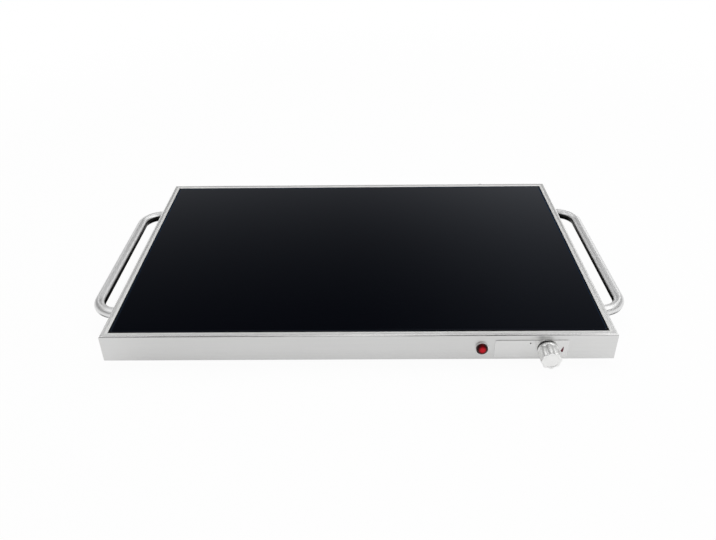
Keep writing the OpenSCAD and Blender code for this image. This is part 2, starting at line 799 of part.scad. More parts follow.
module block_screws() {
    color("silver") for (x = [-1, 1]) translate([block_x + x * block_screw_x, block_y, z_base]) {
        cylinder(r = m3_r, h = base_t + block_h);
        translate([0, 0, base_t + block_h]) cylinder(r = 2.7, h = 1.6);
    }
}

module cable_gland() {
    color("dimgray") difference() {
        union() {
            hex_along_y(gland_x, back_y, z_side, gland_af, gland_hex_h);
            along_y(gland_x, back_y - sheet_t - gland_inner_l, z_side, gland_thread_r,
                sheet_t + gland_inner_l + cut);
            along_y(gland_x, back_y, z_side, gland_outer_r, gland_hex_h + gland_outer_l);
        }
        along_y(gland_x, back_y - sheet_t - gland_inner_l - cut, z_side, gland_wall,
            sheet_t + gland_inner_l + gland_hex_h + gland_outer_l + 2 * cut);
    }
}

module gland_locknut() {
    color("dimgray") difference() {
        hex_along_y(gland_x, back_y - sheet_t - locknut_h, z_side, gland_af, locknut_h);
        along_y(gland_x, back_y - sheet_t - locknut_h - cut, z_side, gland_thread_r + seat,
            locknut_h + 2 * cut);
    }
}

module gland_bushing() {
    y = back_y + gland_hex_h + gland_outer_l - bushing_l;
    color("black") difference() {
        along_y(gland_x, y, z_side, gland_wall - seat, bushing_l);
        along_y(gland_x, y - cut, z_side, gland_bore / 2, bushing_l + 2 * cut);
    }
}

module gland_nut() {
    y = back_y + gland_hex_h;
    l = gland_reach - gland_hex_h;
    grip_l = 9;
    mouth_r = gland_bore / 2 + 0.8;
    color("dimgray") translate([gland_x, y, z_side]) rotate([-90, 0, 0]) difference() {
        union() {
            hex(gland_af, grip_l);
            translate([0, 0, grip_l]) cylinder(r = gland_af / 2 - 0.4, h = l - grip_l - 4);
            translate([0, 0, l - 4]) cylinder(r1 = gland_af / 2 - 0.4, r2 = mouth_r + 1, h = 4);
        }
        translate([0, 0, -cut]) cylinder(r = gland_outer_r + seat, h = gland_outer_l + cut);
        cylinder(r = mouth_r, h = l + cut);
    }
}

module earth_stud() {
    color("silver") translate([earth_x, earth_y, z_floor]) cylinder(r = m4_r, h = earth_l);
}

module earth_ring() {
    color("silver") translate([earth_x, earth_y, z_floor]) difference() {
        union() {
            cylinder(r = ring_r, h = ring_t);
            translate([-1.8, 0, 0]) cube([3.6, 8, ring_t]);
            translate([0, 7, lead_r + 0.6]) rotate([-90, 0, 0]) cylinder(r = lead_r + 0.6, h = 5);
        }
        translate([0, 0, -cut]) cylinder(r = m4_r + seat, h = ring_t + 2 * cut);
    }
}

module earth_nut() {
    color("silver") translate([earth_x, earth_y, z_floor + ring_t]) m4_nut();
}

// how the leads run: each list is a route from one terminal to the other, in steps of turn
blade_end_y = thermostat_y + thermostat_depth + blade_l + hair;
z_blade = z_control + blade_t / 2;
pole_y = block_y - block_d / 2 + pole_deep - hair;
pole_x = [for (x = spread(poles, pole_pitch)) block_x + x];
lamp_end_y = front_y - cut / 2 + barrel_l + blade_l + hair;
cutout_blade_x = cutout_r + 7.5 + hair;
z_cut = z_cutout_blade + blade_t / 2;
z_low = z_floor + turn;
z_mid = z_floor + 2.5 * turn;

module live_lead() {
    start = [pole_x[1], pole_y, z_pole];
    end = [knob_x + blade_x, blade_end_y, z_blade];
    color("saddlebrown") lead([start, start + turn * [0, -4, 0], start + turn * [0.5, -16, 1],
        [start[0] + turn, heat_y, z_mid], [knob_x - blade_x, mat_front + 2 * turn, z_mid],
        end + turn * [0, 5.5, -1], end + turn * [0, 2, 0], end], lead_r);
}

module link_lead() {
    start = [knob_x - blade_x, blade_end_y, z_blade];
    end = [cutout_x + cutout_blade_x, sensor_y, z_cut];
    color("saddlebrown") lead([start, start + turn * [0, 2, 0], start + turn * [-3.5, 3.5, -2.25],
        [lamp_x + 5 * turn, sensor_y - 1.5 * turn, z_low], [bulb_x, sensor_y - turn, z_low],
        end + turn * [4, 0, -2], end + turn * [1.5, 0, 0], end], lead_r);
}

module element_lead() {
    start = [cutout_x - cutout_blade_x, sensor_y, z_cut];
    end = [tail_x, run_y[0], tail_z - hair];
    color("firebrick") lead([start, start + turn * [-1.75, 0, 0],
        [start[0] - 2.5 * turn, sensor_y - turn / 2, z_mid], [start[0], mat_front - turn / 2, z_low],
        [cutout_x, run_y[0] - turn / 2, z_low], [lamp_x, run_y[0] - turn / 2, z_low],
        [end[0] - 5 * turn, end[1], z_low], [end[0], end[1], z_low], end], lead_r, reach = 5);
}

module return_lead() {
    start = [pole_x[2], pole_y, z_pole];
    end = [tail_x, run_y[element_runs - 1], tail_z - hair];
    bypass = max(end[0], block_x + block_w / 2) + 2 * turn;
    color("steelblue") lead([start, start + turn * [0, -3, 0], start + turn * [1.5, -5, 1],
        [bypass - turn, start[1] - 5 * turn, z_mid], [bypass, block_y, z_low + turn],
        [bypass, end[1] - turn, z_low], [end[0], end[1], z_low], end], lead_r, reach = 5);
}

module lamp_leads() {
    a = [lamp_x - lamp_blade_x, lamp_end_y, z_lamp];
    b = [lamp_x + lamp_blade_x, lamp_end_y, z_lamp];
    pole = [pole_x[0], pole_y, z_pole];
    blade = [knob_x - blade_x, blade_end_y - 3, z_control - hair];
    color("steelblue") lead([a, a + turn * [0, 2, 0], a + turn * [-1.5, 7.5, -1.5], a + turn * [1, 17, -2],
        [pole[0] - 6 * turn, heat_y, z_low], [pole[0] - 3 * turn, pole[1] - 15 * turn, z_low],
        pole + turn * [0, -4, 0], pole], lead_r);
    color("firebrick") lead([b, b + turn * [0, 1.75, 0], b + turn * [3.25, 2.5, -2.25],
        [blade[0] - 2.75 * turn, blade[1] + turn, z_low + turn / 2],
        [blade[0], blade[1], z_low + 0.75 * turn], blade], lead_r, reach = 5);
}

module earth_lead() {
    start = [pole_x[3], pole_y, z_pole];
    end = [earth_x, earth_y + 12 + hair, z_floor + lead_r + 0.6];
    color("olivedrab") lead([start, start + turn * [0, -2.5, 0], end + turn * [-0.5, 3, 0.25],
        end + turn * [0, 1.5, 0], end], lead_r, reach = 5);
}

casing();
glass_top();
glass_seal();
handle_left();
handle_right();
handle_plugs();
handle_screws();
handle_washers();
base_plate();
base_screws();
feet();
foot_screws();
foot_nuts();
control_plate();
knob();
thermostat_spindle();
thermostat_body();
thermostat_nut();
lamp_body();
lamp_lens();
lamp_clip();
heat_spreader();
heating_element();
element_clips();
insulation_mat();
hold_down_pan();
pan_nuts();
sensing_bulb();
bulb_clips();
capillary_tube();
thermal_cutout();
cutout_rivets();
terminal_block();
block_screws();
cable_gland();
gland_locknut();
gland_bushing();
gland_nut();
earth_stud();
earth_nut();
earth_ring();
live_lead();
link_lead();
element_lead();
return_lead();
lamp_leads();
earth_lead();
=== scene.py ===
"""Studio, finishes and rounded pieces for a low steel warming tray with a black glass top.

The pieces' sizes are in millimetres, and their meshes are scaled to metres once, when they are
made. Finishes, lamps and the floor are in metres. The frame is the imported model's: +Z up, +Y to the
back, the front at -Y.
"""

import json
import logging
import math
from dataclasses import dataclass
from enum import Enum
from functools import cache
from typing import Any, Callable, Sequence, Union

import bmesh
import bpy
import numpy as np
from mathutils import Matrix, Vector


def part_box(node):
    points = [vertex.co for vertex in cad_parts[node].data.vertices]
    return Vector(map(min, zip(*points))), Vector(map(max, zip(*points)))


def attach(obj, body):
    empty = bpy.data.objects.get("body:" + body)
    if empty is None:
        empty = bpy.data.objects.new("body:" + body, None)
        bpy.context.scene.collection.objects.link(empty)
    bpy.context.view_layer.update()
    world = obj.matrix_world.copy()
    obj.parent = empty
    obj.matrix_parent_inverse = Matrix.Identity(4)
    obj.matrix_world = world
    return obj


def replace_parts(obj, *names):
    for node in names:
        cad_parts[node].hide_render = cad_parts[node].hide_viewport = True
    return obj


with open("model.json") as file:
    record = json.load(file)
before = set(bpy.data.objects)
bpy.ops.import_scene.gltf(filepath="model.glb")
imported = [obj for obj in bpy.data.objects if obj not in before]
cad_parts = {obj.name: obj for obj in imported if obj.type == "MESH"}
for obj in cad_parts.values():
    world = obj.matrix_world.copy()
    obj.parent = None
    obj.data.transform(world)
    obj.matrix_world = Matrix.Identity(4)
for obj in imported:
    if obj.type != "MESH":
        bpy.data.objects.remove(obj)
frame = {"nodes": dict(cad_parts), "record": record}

LOG = logging.getLogger("tray")
MM = 0.001
TRAY = "tray"
DIAL = "dial"
Colour = tuple[float, float, float]
Span = tuple[float, float]
Rows = tuple[tuple[float, ...], ...]
BLACK: Colour = (0.0, 0.0, 0.0)
# Points nearer than this, in metres, are one point.
MERGE = 1e-7
# A Mix node has sockets for each kind of value: the numbers of its two inputs and its result.
MIX_NUMBERS = (2, 3, 0)
MIX_COLOURS = (6, 7, 2)


# ------ shader maths


def operator(kind: str) -> Callable[["Sock", "Value"], "Sock"]:
    """A method for two values that adds a Math node of that kind."""

    def method(self: "Sock", other: "Value") -> "Sock":
        """The node's result."""
        return self.graph.math(kind, self, other)

    return method


class Sock:
    """One socket of a node tree, with the sums and comparisons that shader maths needs."""

    def __init__(self, graph: "Graph", socket: bpy.types.NodeSocket | None) -> None:
        """Wraps a socket.

        Args:
            graph: the node tree that new Math nodes go into.
            socket: the output that this value comes from, or None if a node has none.
        """
        self.graph = graph
        self.socket = socket

    __add__ = __radd__ = operator("ADD")
    __mul__ = __rmul__ = operator("MULTIPLY")
    __sub__ = operator("SUBTRACT")
    __truediv__ = operator("DIVIDE")
    # These give 1 where it is so, otherwise 0.
    __lt__ = operator("LESS_THAN")
    __gt__ = operator("GREATER_THAN")

    def __rsub__(self, other: "Value") -> "Sock":
        """Difference the other way round, as in 1 - mask."""
        return self.graph.math("SUBTRACT", other, self)

    def __abs__(self) -> "Sock":
        """Size without its sign."""
        return self.graph.math("ABSOLUTE", self)

    def clamp(self) -> "Sock":
        """Held between 0 and 1."""
        return self.graph.math("ADD", self, 0.0, clamp=True)


Value = Union[Sock, float]
Way = tuple[Sock, Sock, Sock]


class Graph:
    """A node tree, with one method for any node and a few for what shader maths uses most."""

    def __init__(self, tree: bpy.types.NodeTree) -> None:
        """Clears the tree.

        Args:
            tree: the node tree of a material or of the world.
        """
        self.tree = tree
        tree.nodes.clear()

    def add(
        self, kind: str, sockets: dict[Any, Any] | None = None, out: Any = 0, **settings: Any
    ) -> Sock:
        """Adds any node.

        Args:
            kind: the node's type, without its ShaderNode prefix.
            sockets: values or links of its input sockets, by name or number.
            out: the output that is wanted, by name or number.
            **settings: its own settings, set before its sockets.

        Returns:
            The wanted output.
        """
        node = self.tree.nodes.new("ShaderNode" + kind)
        for key, value in settings.items():
            setattr(node, key, value)
        for key, value in (sockets or {}).items():
            self.plug(node.inputs[key], value)
        return Sock(self, node.outputs[out] if len(node.outputs) else None)

    def plug(self, socket: bpy.types.NodeSocket, value: Any) -> None:
        """Sets a socket to a number or colour, or links it."""
        if isinstance(value, Sock):
            self.tree.links.new(value.socket, socket)
        elif socket.type == "RGBA":
            socket.default_value = (*value, 1.0)
        else:
            socket.default_value = value

    def math(self, kind: str, *values: Value, clamp: bool = False) -> Sock:
        """A Math node on one to three values."""
        return self.add("Math", dict(enumerate(values)), operation=kind, use_clamp=clamp)

    def mix(self, share: Value, a: Any, b: Any) -> Sock:
        """A colour that goes from a to b as share goes from 0 to 1."""
        first, second, out = MIX_COLOURS
        return self.add("Mix", {0: share, first: a, second: b}, out=out, data_type="RGBA")

    def blend(self, share: Value, a: Value, b: Value) -> Sock:
        """A number that goes from a to b as share goes from 0 to 1."""
        first, second, out = MIX_NUMBERS
        return self.add("Mix", {0: share, first: a, second: b}, out=out, data_type="FLOAT")

    def rise(self, value: Value, low: float, high: float) -> Sock:
        """A soft step from 0 below low to 1 above high."""
        sockets = {0: value, 1: low, 2: high, 3: 0.0, 4: 1.0}
        return self.add("MapRange", sockets, interpolation_type="SMOOTHSTEP")

    def fall(self, value: Value, low: float, high: float) -> Sock:
        """A soft step from 1 below low to 0 above high."""
        return 1.0 - self.rise(value, low, high)

    def edge(self, value: Value, middle: float, soft: float) -> Sock:
        """A step from 0 to 1 at the middle, soft by that much on both sides."""
        return self.rise(value, middle - soft, middle + soft)

    def least(self, a: Value, b: Value) -> Sock:
        """The smaller of two numbers."""
        return self.math("MINIMUM", a, b)

    def reach(self, a: Sock, b: Sock) -> Sock:
        """How far (a, b) is from (0, 0)."""
        return self.math("SQRT", a * a + b * b)

    def split(self, vector: Sock) -> Way:
        """The x, y and z of a vector."""
        x, y, z = (self.add("SeparateXYZ", {0: vector}, out=i) for i in range(3))
        return x, y, z

    def vector(self, x: Value, y: Value, z: Value) -> Sock:
        """A vector of three values."""
        return self.add("CombineXYZ", {0: x, 1: y, 2: z})

    def place(self) -> tuple[Sock, Sock, Sock, Sock]:
        """The object's own coordinates in metres: the vector, then x, y and z."""
        vector = self.add("TexCoord", out="Object")
        return (vector, *self.split(vector))

    def rays(self) -> tuple[Sock, Sock]:
        """1 for a ray from the camera, and 1 for a ray that is mirrored or went through glass."""
        kinds = ("Is Camera Ray", "Is Glossy Ray", "Is Transmission Ray")
        camera, glossy, passed = (self.add("LightPath", out=kind) for kind in kinds)
        return camera, (glossy + passed).clamp()

    def noise(self, vector: Sock, scale: float, detail: float = 2.0, rough: float = 0.5) -> Sock:
        """Smooth noise from 0 to 1 round 0.5."""
        sockets = {"Vector": vector, "Scale": scale, "Detail": detail, "Roughness": rough}
        return self.add("TexNoise", sockets, out="Fac")

    def stretched(self, x: Value, y: Value, z: Value, **kind: float) -> Sock:
        """Noise of three numbers that were each scaled before, with cells 1 wide."""
        return self.noise(self.vector(x, y, z), 1.0, **kind)

    def bump(self, height: Sock, strength: float, depth: float, under: Sock | None = None) -> Sock:
        """A normal that a height tilts, where 0 to 1 stands for the depth in metres."""
        sockets: dict[str, Any] = {"Height": height, "Strength": strength, "Distance": depth}
        if under is not None:
            sockets["Normal"] = under
        return self.add("Bump", sockets, out="Normal")


# ------ finishes


class Grain(Enum):
    """Which way a metal's polishing lines run."""

    ALONG_X = "along the tray"
    RAILS = "along each rail, meeting at the mitres"
    FLOW = "along the piece's own flow attribute"


@dataclass(frozen=True)
class Finish:
    """A plain finish: one colour with a fine mottle, and the parts that every finish shares.

    In every finish, scales are in noise cells a metre, depth is the bumps' height in metres, and
    spread is how far the roughness goes from its lowest to its highest.
    """

    name: str
    colour: Colour
    roughness: float = 0.5
    metallic: float = 0.0
    mottle: float = 0.06
    scale: float = 350.0
    bump: float = 0.12
    spread: float = 0.16
    depth: float = 0.0002

    def make(self) -> bpy.types.Material:
        """Builds the material.

        Returns:
            A material whose Principled shader this finish has painted.
        """
        made = bpy.data.materials.new(self.name)
        made.use_nodes = True
        graph = Graph(made.node_tree)
        shader = graph.tree.nodes.new("ShaderNodeBsdfPrincipled")
        output = graph.tree.nodes.new("ShaderNodeOutputMaterial")
        graph.tree.links.new(shader.outputs[0], output.inputs["Surface"])
        for key, value in {"Metallic": self.metallic, **self.paint(graph)}.items():
            graph.plug(shader.inputs[key], value)
        made.diffuse_color = (*self.colour, 1.0)
        return made

    def paint(self, graph: Graph) -> dict[str, Any]:
        """Values or links of the shader's sockets: a mottled colour, an uneven gloss and a grain.

        The cloud is four times as coarse as the scale, and the grain four times as fine.

        Args:
            graph: the material's node tree.

        Returns:
            Socket name to value or link.
        """
        vector = graph.place()[0]
        cloud = graph.noise(vector, self.scale / 4, detail=3.0)
        grain = graph.noise(vector, self.scale * 4, detail=3.0)
        return {
            "Base Color": self.shade(graph, cloud),
            "Roughness": self.gloss(cloud),
            "Normal": graph.bump(grain, self.bump, self.depth),
        }

    def shade(self, graph: Graph, share: Sock) -> Sock:
        """The colour, darker to lighter by the mottle as share goes from 0 to 1."""
        low = tuple(c * (1 - self.mottle) for c in self.colour)
        high = tuple(min(1.0, c * (1 + self.mottle)) for c in self.colour)
        return graph.mix(share, low, high)

    def gloss(self, share: Sock) -> Sock:
        """The roughness, which is its own value where share is a half, and rises with share."""
        return (share - 0.5) * self.spread + self.roughness


@dataclass(frozen=True)
class Brushed(Finish):
    """Metal with long fine polishing lines.

    Fine and coarse are the lines across the grain, and their runs are the cells along it. The
    halves are the frame's, and shares are what fine, coarse and cloud put into the colour.
    """

    depth: float = 0.0001
    grain: Grain = Grain.ALONG_X
    half_x: float = 0.3
    half_y: float = 0.2
    fine: float = 2600.0
    fine_run: float = 14.0
    coarse: float = 420.0
    coarse_run: float = 5.0
    coarse_depth: float = 0.0003
    cloud: float = 9.0
    shares: tuple[float, float, float] = (0.5, 0.3, 0.2)

    def flow(self, graph: Graph) -> Way:
        """Coordinates of the polishing lines: one along them and two across.

        On the rails the lines turn at the mitre, where both walls are equally near.
        """
        if self.grain is Grain.FLOW:
            return graph.split(graph.add("Attribute", out="Vector", attribute_name="flow"))
        _, x, y, z = graph.place()
        if self.grain is Grain.ALONG_X:
            return x, y, z
        short = (self.half_x - abs(x)) < (self.half_y - abs(y))
        return graph.blend(short, x, y), graph.blend(short, y, x), z

    def paint(self, graph: Graph) -> dict[str, Any]:
        """Lines as noise that is stretched along the flow, in two widths, over a slow cloud."""
        along, across, up = self.flow(graph)
        fine, coarse = self.fine, self.coarse
        hair = graph.stretched(along * self.fine_run, across * fine, up * fine, rough=0.6)
        band = graph.stretched(along * self.coarse_run, across * coarse, up * coarse)
        cloud = graph.noise(graph.place()[0], self.cloud)
        of_hair, of_band, of_cloud = self.shares
        mixed = hair * of_hair + band * of_band + cloud * of_cloud
        under = graph.bump(band, self.bump / 2, self.coarse_depth)
        return {
            "Base Color": self.shade(graph, mixed),
            "Roughness": self.gloss(mixed),
            "Normal": graph.bump(hair, self.bump, self.depth, under),
        }


@dataclass(frozen=True)
class RimSteel(Brushed):
    """The frame's steel: painted sheen on top, painted shade on the lip, a burnished fold, a bevel
    finished by grinding.

    Heights are over the worktop, and fold and bevel are distances from the frame's outer edge, in
    metres: the fold is outside its distance, the bevel and the lip are inside theirs.
    """

    top_height: Span = (0.0445, 0.0455)
    sheen_share: float = 0.45
    sheen_colour: Colour = (0.95, 0.95, 0.945)
    fold: Span = (0.0018, 0.0026)
    fold_height: Span = (0.0434, 0.0442)
    fold_roughness: float = 0.16
    bevel: float = 0.0053
    bevel_soft: float = 0.0002
    bevel_height: float = 0.0453
    bevel_colour: Colour = (0.93, 0.93, 0.92)
    bevel_roughness: float = 0.55
    lip_height: float = 0.0415
    lip_shade_colour: Colour = (0.02, 0.02, 0.02)

    def paint(self, graph: Graph) -> dict[str, Any]:
        """Brushed steel, with the zones over it by height and by distance from the outer edge."""
        sockets = super().paint(graph)
        _, x, y, z = graph.place()
        inside = graph.least(self.half_x - abs(x), self.half_y - abs(y))
        # Painted sheen: the top faces are paler, standing in for light from above.
        top = graph.rise(z, *self.top_height) * self.sheen_share
        fold = graph.fall(inside, *self.fold) * graph.rise(z, *self.fold_height)
        bevel = graph.edge(inside, self.bevel, self.bevel_soft) * (z > self.bevel_height)
        # Painted shade: the recess wall down to the glass is near black.
        lip = (inside > self.bevel) * (z < self.bevel_height) * (z > self.lip_height)
        base = graph.mix(top, sockets["Base Color"], self.sheen_colour)
        base = graph.mix(bevel, base, self.bevel_colour)
        rough = graph.blend(bevel, sockets["Roughness"], self.bevel_roughness)
        return {
            **sockets,
            "Base Color": graph.mix(lip, base, self.lip_shade_colour),
            "Roughness": graph.blend(fold, rough, self.fold_roughness),
        }


@dataclass(frozen=True)
class TubeSteel(Brushed):
    """The handles' steel, with painted shade: a dark line along the inside of each bent tube.

    From the tube's middle, inner is how far to the inside the painted dark line begins, and top is
    the height at which it ends.
    """

    inner: float = 0.0055
    inner_soft: float = 0.0003
    top: Span = (0.0028, 0.0038)
    painted_shade_colour: Colour = (0.04, 0.04, 0.04)

    def paint(self, graph: Graph) -> dict[str, Any]:
        """Brushed steel, with the painted dark line over it."""
        sockets = super().paint(graph)
        _, out, up = self.flow(graph)
        # Painted shade: near-black steel on the tube's inner side stands in for a dark reflection.
        painted_shade = graph.edge(out * -1.0, self.inner, self.inner_soft) * graph.fall(up, *self.top)
        base = graph.mix(painted_shade, sockets["Base Color"], self.painted_shade_colour)
        return {**sockets, "Base Color": base}


@dataclass(frozen=True)
class Spun(Finish):
    """Bright metal whose front is turned, with rings round the axis, and faint lines elsewhere."""

    spread: float = 0.1
    depth: float = 0.0001
    centre_x: float = 0.2203
    centre_z: float = 0.026
    front_y: float = -0.2216
    front_roughness: float = 0.24
    rings: float = 5200.0
    lines: tuple[float, float, float] = (900.0, 120.0, 900.0)
    line_share: float = 0.25
    cloud: float = 160.0

    def paint(self, graph: Graph) -> dict[str, Any]:
        """Rings as noise of the distance from the axis, in front of front_y."""
        vector, x, y, z = graph.place()
        front = y < self.front_y
        reach = graph.reach(x - self.centre_x, z - self.centre_z)
        ring = graph.stretched(reach * self.rings, 0.0, 0.0, detail=3.0, rough=0.7)
        in_x, in_y, in_z = self.lines
        line = graph.stretched(x * in_x, y * in_y, z * in_z)
        cloud = graph.noise(vector, self.cloud)
        height = graph.blend(front, line * self.line_share, ring)
        return {
            "Base Color": self.shade(graph, cloud),
            "Roughness": graph.blend(front, self.gloss(cloud), self.front_roughness),
            "Normal": graph.bump(height, self.bump, self.depth),
        }


@dataclass(frozen=True)
class BlackGlass(Finish):
    """Toughened glass, black all through, with the faint waviness and bloom of a wiped surface.

    The halves are the panel's, and shaded_edge is the width of its edge that carries painted shade. A
    wiping streak has so many cells a metre in x and in y, along it and across it.
    """

    bump: float = 0.03
    spread: float = 0.08
    half_x: float = 0.2898
    half_y: float = 0.1898
    shaded_edge: float = 0.0011
    shaded_edge_soft: float = 0.0003
    cloud: float = 7.0
    wave: float = 14.0
    wipe_along: Span = (4.0, 3.0)
    wipe_across: Span = (5.0, 26.0)
    wipe_share: float = 0.4
    tint: Colour = (0.55, 0.7, 1.0)

    def paint(self, graph: Graph) -> dict[str, Any]:
        """Gloss that a slow cloud and a few wiping streaks roughen, over a very slight wave.

        The edge is painted shade: black metal to the shader, so it mirrors nothing.
        """
        vector, x, y, _ = graph.place()
        inside = graph.least(self.half_x - abs(x), self.half_y - abs(y))
        cloud = graph.noise(vector, self.cloud, detail=4.0, rough=0.6)
        along = x * self.wipe_along[0] + y * self.wipe_along[1]
        across = y * self.wipe_across[1] - x * self.wipe_across[0]
        wipe = graph.stretched(along, across, 0.0, detail=3.0)
        wave = graph.noise(vector, self.wave, detail=1.0)
        return {
            "Base Color": self.shade(graph, cloud),
            "Roughness": self.gloss(cloud * (1.0 - self.wipe_share) + wipe * self.wipe_share),
            "Metallic": 1.0 - graph.edge(inside, self.shaded_edge, self.shaded_edge_soft),
            "Normal": graph.bump(wave, self.bump, self.depth),
            "Specular Tint": self.tint,
        }


@dataclass(frozen=True)
class Lens(Finish):
    """Clear red plastic over a lamp, with painted light in its middle and above, and painted shade
    round its rim.

    Middle and above are in radii from the axis.
    """

    bump: float = 0.05
    spread: float = 0.08
    depth: float = 0.0001
    centre_x: float = 0.144
    centre_z: float = 0.0288
    radius: float = 0.0067
    middle: Span = (0.25, 0.78)
    above: Span = (0.45, 1.0)
    above_sides: Span = (0.1, 0.75)
    above_share: float = 0.3
    rim_shade_share: float = 0.06
    streak: float = 2.5
    contrast: float = 0.5
    haze: float = 900.0
    ripple: float = 1500.0
    glow: float = 0.42
    shine: float = 0.12

    def paint(self, graph: Graph) -> dict[str, Any]:
        """Colour and glow from the distance to the lamp's axis, with painted light from above and
        painted shade at the rim.
        """
        vector, x, _, z = graph.place()
        dx, dz = (x - self.centre_x) / self.radius, (z - self.centre_z) / self.radius
        middle = graph.fall(graph.reach(dx, dz), *self.middle)
        above = graph.rise(dz, *self.above) * graph.fall(abs(dx), *self.above_sides)
        lit = (middle + above * self.above_share).clamp()
        streak = graph.stretched(dx * self.streak, dz * self.streak, 0.0, detail=1.0)
        uneven = streak * self.contrast + (1.0 - self.contrast / 2)
        # Painted shade: the rim takes this dark red, and painted light brings the middle and top up
        # to full red.
        dark = tuple(c * self.rim_shade_share for c in self.colour)
        ripple = graph.noise(vector, self.ripple, detail=1.0)
        return {
            "Base Color": graph.mix(lit * uneven, dark, self.colour),
            "Roughness": graph.noise(vector, self.haze) * self.spread + self.roughness,
            "Emission Color": graph.mix(middle, BLACK, self.colour),
            "Emission Strength": self.glow,
            "Normal": graph.bump(ripple, self.bump, self.depth),
            "Specular IOR Level": self.shine,
        }


@dataclass(frozen=True)
class Rubber(Finish):
    """Dull black rubber that hardly shines."""

    shine: float = 0.12

    def paint(self, graph: Graph) -> dict[str, Any]:
        """The plain finish, with the shine turned down."""
        return {**super().paint(graph), "Specular IOR Level": self.shine}


@dataclass(frozen=True)
class Spangled(Finish):
    """Zinc-coated sheet with its crystal pattern, and a grain that many times finer."""

    spread: float = 0.2
    depth: float = 0.0001
    finer: float = 12.0

    def paint(self, graph: Graph) -> dict[str, Any]:
        """Each cell of a Voronoi pattern has its own grey and gloss."""
        vector = graph.place()[0]
        cell = graph.add("TexVoronoi", {"Vector": vector, "Scale": self.scale}, out="Color")
        share = graph.add("SeparateXYZ", {0: cell})
        fine = graph.noise(vector, self.scale * self.finer)
        return {
            "Base Color": self.shade(graph, share),
            "Roughness": self.gloss(share),
            "Normal": graph.bump(fine, self.bump, self.depth),
        }


@dataclass(frozen=True)
class Woven(Finish):
    """Fibre: a woven sleeve or a felted mat, with a second colour in stripes if it has one.

    Felt and the stripes are shares of the scale, and a stripe is where its wave is over its height.
    """

    spread: float = 0.2
    depth: float = 0.0003
    stripe: Colour | None = None
    stripe_scale: float = 0.2
    stripe_height: float = 0.4
    felt_scale: float = 0.7
    weave_share: float = 0.5

    def paint(self, graph: Graph) -> dict[str, Any]:
        """Two crossed sine waves for the weave over a felted noise, and a third for the stripes."""
        vector, x, y, z = graph.place()
        warp, weft = (graph.math("SINE", way * self.scale) for way in (x + y + z, x - y + z))
        felt = graph.noise(vector, self.scale * self.felt_scale, detail=4.0, rough=0.7)
        base = self.shade(graph, felt)
        if self.stripe:
            wave = graph.math("SINE", (x + y - z) * self.scale * self.stripe_scale)
            base = graph.mix(wave > self.stripe_height, base, self.stripe)
        height = warp * weft * self.weave_share + felt
        return {
            "Base Color": base,
            "Roughness": felt * self.spread + self.roughness,
            "Normal": graph.bump(height, self.bump, self.depth),
        }


# After the name and colour come roughness, metallic, mottle, scale and bump.
FINISHES: dict[str, Finish] = {finish.name: finish for finish in (
    RimSteel("frame_steel", (0.74, 0.74, 0.735), 0.33, 1.0, 0.08, bump=0.6, grain=Grain.RAILS),
    TubeSteel("handle_steel", (0.84, 0.84, 0.84), 0.36, 1.0, 0.05, bump=0.3, grain=Grain.FLOW),
    Brushed("bright_plate", (0.78, 0.78, 0.775), 0.22, 1.0, 0.05, bump=0.4),
    Brushed("lamp_bezel", (0.93, 0.92, 0.91), 0.45, 1.0, 0.04, bump=0.1),
    Brushed("spreader_aluminium", (0.72, 0.73, 0.74), 0.4, 1.0, 0.06, bump=0.2),
    Spun("knob_chrome", (0.94, 0.94, 0.93), 0.28, 1.0, 0.03, bump=1.0),
    BlackGlass("black_glass", (0.0014, 0.0017, 0.0034), 0.05),
    Lens("red_lens", (0.42, 0.008, 0.016), 0.1),
    Rubber("black_silicone", (0.004, 0.004, 0.0045), 0.75, 0.0, 0.2, 400.0, 0.2),
    Spangled("base_steel", (0.58, 0.59, 0.6), 0.38, 1.0, 0.14, 90.0),
    Finish("plain_steel", (0.55, 0.55, 0.55), 0.35, 1.0),
    Finish("zinc_steel", (0.62, 0.63, 0.64), 0.32, 1.0, 0.1, 900.0),
    Finish("brass", (0.62, 0.46, 0.2), 0.3, 1.0, 0.12, 700.0),
    Finish("copper", (0.66, 0.34, 0.2), 0.34, 1.0, 0.14, 500.0),
    Finish("element_sheath", (0.2, 0.21, 0.2), 0.5, 0.8, 0.2, 260.0, 0.3),
    Finish("foot_rubber", (0.022, 0.022, 0.022), 0.7, 0.0, 0.2, 500.0, 0.4),
    Finish("black_plastic", (0.02, 0.02, 0.022), 0.45, 0.0, 0.15, 800.0, 0.25),
    Finish("white_ceramic", (0.78, 0.77, 0.73), 0.6, 0.0, 0.05, 600.0, 0.2),
    Finish("ivory_ceramic", (0.75, 0.72, 0.62), 0.25, 0.0, 0.04, 300.0, 0.05),
    Finish("red_print", (0.13, 0.006, 0.022), 0.5, 0.0, 0.12, 1500.0, 0.1),
    Finish("grey_print", (0.07, 0.07, 0.07), 0.5, 0.0, 0.1, 1500.0, 0.1),
    Woven("fibre_mat", (0.74, 0.71, 0.63), 0.8, 0.0, 0.12, 900.0, 0.6),
    Woven("brown_sleeve", (0.16, 0.07, 0.035), 0.65, 0.0, 0.2, 5200.0, 0.5),
    Woven("red_sleeve", (0.4, 0.05, 0.04), 0.65, 0.0, 0.2, 5200.0, 0.5),
    Woven("blue_sleeve", (0.05, 0.12, 0.36), 0.65, 0.0, 0.2, 5200.0, 0.5),
    Woven("green_sleeve", (0.1, 0.3, 0.05), 0.65, 0.0, 0.2, 5200.0, 0.5, stripe=(0.7, 0.6, 0.05)),
)}


@cache
def material(slot: str) -> bpy.types.Material:
    """The material of a finish, made the first time that it is asked for."""
    return FINISHES[slot].make()


# ------ meshes


def show(name: str, data: bpy.types.ID) -> bpy.types.Object:
    """A new object of a mesh, light or camera, in the scene."""
    made = bpy.data.objects.new(name, data)
    bpy.context.scene.collection.objects.link(made)
    return made


def turn_angles(sides: int) -> np.ndarray:
    """The angles, in radians, of so many equal steps of one turn."""
    return np.arange(sides) * 2 * np.pi / sides


